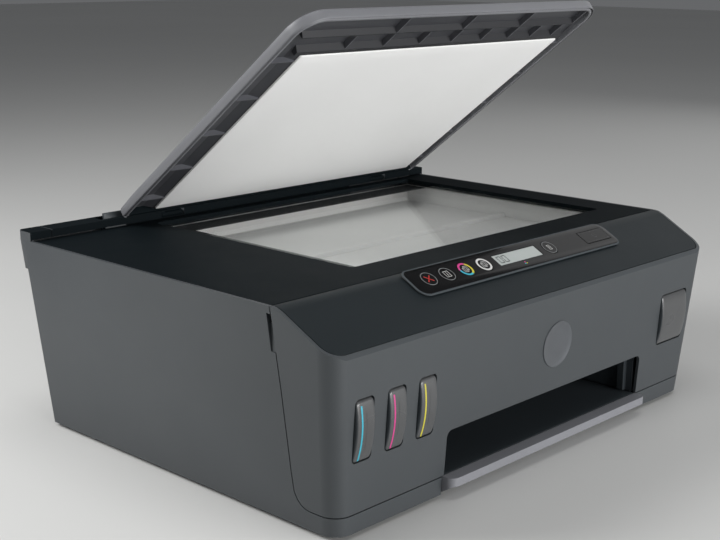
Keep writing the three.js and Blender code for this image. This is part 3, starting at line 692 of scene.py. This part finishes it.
for name, (x, width) in WINDOWS.items():
    across, height = make_window(name, x, width)
    if name in STRIPES:
        make_stripe(name, across[0] + 4.1, height)

# ---- control strip ------------------------------------------------------------------------------


def pod_plate(inset, z, edge):
    radii = [radius - inset for radius in (9.5, 6.0, 8.5, 6.5)]
    return plate(span(POD["x"], inset), span(POD["y"], inset), z, radii, edge)


def make_control_strip():
    """A thin rim round a glossy strip, over a black foot that is painted shade under the rim's edge, with
    holes for the keys and the display cut by booleans.
    """
    # painted shade: the black foot under the rim stands for the shadow below the strip's edge
    shade_foot_plate = pod_plate(1.0, (POD["foot"], 0.9), 0.1)
    rim_plate = pod_plate(0.0, (POD["base"], POD["rim"]), 0.4)
    top_plate = pod_plate(1.3, (0.9, POD["top"]), 0.1)
    foot = piece("control_strip_shade_foot", shade_foot_plate, SLOPE_FRAME, LOOKS["inner_black"], "front_door")
    rim = piece("control_strip_rim", rim_plate, SLOPE_FRAME, POD_RIM, "front_door")
    strip = piece(
        "control_strip", top_plate, SLOPE_FRAME, LOOKS["gloss_black"], "front_door",
        ["panel_bezel"], 40)
    cutter = bmesh.new()
    turns = [math.tau * i / 48 for i in range(48)]
    circle = [(KEY_HOLE * math.cos(a), KEY_HOLE * math.sin(a)) for a in turns]
    for x in KEYS.values():
        loft(cutter, [[(x + px, KEY_Y + py, z) for px, py in circle] for z in (-2.0, 5.0)])
    plate(POWER_HOLE["x"], POWER_HOLE["y"], (-2.5, 5.0), 1.2, bm=cutter)
    plate(span(LCD["x"], -0.4), span(LCD["y"], -0.4), (-2.0, 5.0), 0.6, bm=cutter)
    bmesh.ops.recalc_face_normals(cutter, faces=cutter.faces)
    cutter.transform(SLOPE_FRAME)
    mesh = bpy.data.meshes.new("strip_cutter")
    cutter.to_mesh(mesh)
    cutter.free()
    tool = bpy.data.objects.new("strip_cutter", mesh)
    bpy.context.scene.collection.objects.link(tool)
    for holed in (foot, rim, strip):
        modify(holed, "BOOLEAN", object=tool, solver="EXACT", operation="DIFFERENCE")
        bpy.context.view_layer.update()
        evaluated = holed.evaluated_get(bpy.context.evaluated_depsgraph_get())
        finished = bpy.data.meshes.new_from_object(evaluated)
        holed.modifiers.clear()
        holed.data = finished
    bpy.data.objects.remove(tool)


make_control_strip()
PRINT = (KEY_TOP - 0.05, KEY_TOP + 0.05)


def key_print(name, suffix, look, draw):
    bm = bmesh.new()
    draw(bm)
    piece(f"{name}_{suffix}", bm, SLOPE_FRAME, look, f"{name}_button")


def thin_ring(name, look=PRINT_GREY, radii=(6.0, 6.5)):
    key_print(name, "ring", look, lambda bm: ring(bm, (KEYS[name], KEY_Y), radii, PRINT))


thin_ring("cancel")
thin_ring("info")
thin_ring("resume")
thin_ring("mono_copy", PRINT_WHITE, (4.9, 6.5))
for color, start in (("magenta", 60.0), ("cyan", 180.0), ("yellow", -60.0)):
    key_print("color_copy", f"arc_{color}", STRIPES[color], lambda bm, s=start: ring(
        bm, (KEYS["color_copy"], KEY_Y), (4.9, 6.5), PRINT, s, 118.0))


def sheet_icon(bm, x, y, width, height, line=0.35):
    """A small page outline."""
    left, right = x - width / 2, x + width / 2
    low, high = y - height / 2, y + height / 2
    stroke(bm, [(left, low), (right, low), (right, high), (left, high), (left, low)], line, PRINT)


def cancel_mark(bm):
    x = KEYS["cancel"]
    stroke(bm, [(x - 2.6, KEY_Y - 2.6), (x + 2.6, KEY_Y + 2.6)], 0.8, PRINT)
    stroke(bm, [(x - 2.6, KEY_Y + 2.6), (x + 2.6, KEY_Y - 2.6)], 0.8, PRINT)


def info_mark(bm):
    x = KEYS["info"]
    sheet_icon(bm, x, KEY_Y, 4.6, 5.6)
    stroke(bm, [(x, KEY_Y - 1.6), (x, KEY_Y + 0.4)], 0.5, PRINT)
    stroke(bm, [(x, KEY_Y + 1.5), (x, KEY_Y + 1.6)], 0.5, PRINT)


def copy_mark(x):
    def draw(bm):
        sheet_icon(bm, x - 0.7, KEY_Y - 0.6, 3.6, 4.2)
        sheet_icon(bm, x + 0.9, KEY_Y + 0.8, 3.6, 4.2)
    return draw


def resume_mark(bm):
    x = KEYS["resume"]
    sheet_icon(bm, x, KEY_Y, 3.0, 4.6)
    stroke(bm, [(x, KEY_Y - 1.1), (x, KEY_Y + 1.1)], 0.4, PRINT)


key_print("cancel", "mark", PRINT_RED, cancel_mark)
key_print("info", "mark", PRINT_WHITE, info_mark)
key_print("color_copy", "mark", PRINT_WHITE, copy_mark(KEYS["color_copy"]))
key_print("mono_copy", "mark", PRINT_WHITE, copy_mark(KEYS["mono_copy"]))
key_print("resume", "mark", PRINT_WHITE, resume_mark)


def power_mark(bm):
    """A thin frame near the key's edges, round a broken circle with a short line in it."""
    sheet_icon(bm, 108.75, KEY_Y, 31.5, 10.2, 0.2)
    ring(bm, (POWER_ICON, KEY_Y), (1.7, 2.1), PRINT, 120.0, 300.0)
    stroke(bm, [(POWER_ICON, KEY_Y + 0.8), (POWER_ICON, KEY_Y + 2.4)], 0.4, PRINT)


key_print("power", "mark", PRINT_FAINT, power_mark)


def digit_strokes(x, y, half_x, half_y):
    """The outline of a seven-segment zero, as separate bars."""
    bars = []
    for side in (-1, 1):
        for lower in (-half_y, 0.25):
            edge = x + side * half_x
            bars.append([(edge, y + lower + 0.3), (edge, y + lower + half_y - 0.55)])
        bars.append([(x - half_x + 0.6, y + side * half_y), (x + half_x - 0.6, y + side * half_y)])
    return bars


def make_display():
    """Two seven-segment digits, and three status dots below the display."""
    z = (LCD["top"] - 0.02, LCD["top"] + 0.04)
    y = sum(LCD["y"]) / 2
    bm = bmesh.new()
    for offset in (5.0, 10.8):
        for bar in digit_strokes(LCD["x"][0] + offset, y, 1.9, 3.3):
            stroke(bm, bar, 0.75, z)
    piece("display_digits", bm, SLOPE_FRAME, PRINT_DARK, "front_door")
    dot_height = (POD["top"] - 0.02, POD["top"] + 0.05)
    for color, place in {"cyan": (8.4, -14.6), "magenta": (9.2, -13.0), "yellow": (10.4, -14.4)}.items():
        dot = ring(bmesh.new(), place, (0.05, 0.6), dot_height, steps=16)
        piece(f"status_dot_{color}", dot, SLOPE_FRAME, STRIPES[color], "front_door")


make_display()

# ---- badge --------------------------------------------------------------------------------------


BADGE_AT = (15.0, 82.0)


def make_badge():
    """A plain disc on the door, with a raised rim."""
    x, z = BADGE_AT
    turns = [math.tau * i / 72 for i in range(72)]
    profile = (
        (17.5, -0.2), (17.5, 0.5), (17.3, 0.7), (16.6, 0.75), (16.2, 0.55), (8.0, 0.6), (1.0, 0.62))
    loops = []
    for radius, proud in profile:
        loops.append([
            (x + radius * math.cos(a), DOOR_SKIN - proud, z + radius * math.sin(a)) for a in turns])
    piece("badge", loft(bmesh.new(), loops), DOOR_FRAME, BADGE, "front_door")


make_badge()

# ---- floor, light and camera ---------------------------------------------------------------------


def look_from(azimuth, elevation, distance, target):
    a, e = math.radians(azimuth), math.radians(elevation)
    back = Vector((math.sin(a) * math.cos(e), -math.cos(a) * math.cos(e), math.sin(e)))
    return Vector(target) + back * distance, (-back).to_track_quat("-Z", "Y")


def area_light(name, azimuth, elevation, size, power, distance=2.2, target=(0.0, 0.0, 0.12)):
    data = bpy.data.lights.new(name, "AREA")
    data.shape = "RECTANGLE"
    data.size, data.size_y = size
    data.energy = power
    made = bpy.data.objects.new(name, data)
    made.rotation_mode = "QUATERNION"
    made.location, made.rotation_quaternion = look_from(azimuth, elevation, distance, target)
    bpy.context.scene.collection.objects.link(made)


def make_floor():
    bm = bmesh.new()
    bmesh.ops.create_grid(bm, x_segments=8, y_segments=8, size=8.0)
    mesh = bpy.data.meshes.new("floor")
    bm.to_mesh(mesh)
    bm.free()
    mesh.materials.append(Look("floor", rgb(214, 214, 212), 0.6).uneven(0.015, 0.8).gloss(0.05, 2).material)
    made = bpy.data.objects.new("floor", mesh)
    bpy.context.scene.collection.objects.link(made)


def make_world():
    world = bpy.data.worlds.new("studio")
    bpy.context.scene.world = world
    world.use_nodes = True
    background = world.node_tree.nodes["Background"]
    background.inputs["Color"].default_value = (0.82, 0.84, 0.87, 1.0)
    background.inputs["Strength"].default_value = 0.16


CAMERA_AT = (-744.75, -678.79, 357.28)
CAMERA_YAW, CAMERA_PITCH, CAMERA_ROLL = (math.radians(a) for a in (46.750, 13.530, 0.402))


def make_camera():
    data = bpy.data.cameras.new("camera")
    data.lens = 65.0
    data.sensor_width = 36.0
    data.clip_start, data.clip_end = 0.05, 50.0
    forward = Vector((
        math.sin(CAMERA_YAW) * math.cos(CAMERA_PITCH), math.cos(CAMERA_YAW) * math.cos(CAMERA_PITCH),
        -math.sin(CAMERA_PITCH)))
    level = Vector((math.cos(CAMERA_YAW), -math.sin(CAMERA_YAW), 0.0))
    up = level.cross(forward)
    right = math.cos(CAMERA_ROLL) * level + math.sin(CAMERA_ROLL) * up
    up = right.cross(forward)
    made = bpy.data.objects.new("camera", data)
    turn = Matrix((right, up, -forward)).transposed().to_4x4()
    made.matrix_world = Matrix.Translation(Vector(CAMERA_AT) * MM) @ turn
    bpy.context.scene.collection.objects.link(made)
    bpy.context.scene.camera = made


make_floor()
make_world()
make_camera()
area_light("front", 8.0, 8.0, (2.0, 0.7), 44.0)
area_light("left", -128.0, 36.0, (0.7, 0.7), 18.0, 1.3, (-0.15, 0.14, 0.12))
area_light("right", 95.0, 24.0, (1.6, 1.2), 3.5)
area_light("top", -20.0, 82.0, (1.6, 1.2), 13.0)
bpy.context.scene.view_settings.view_transform = "Standard"
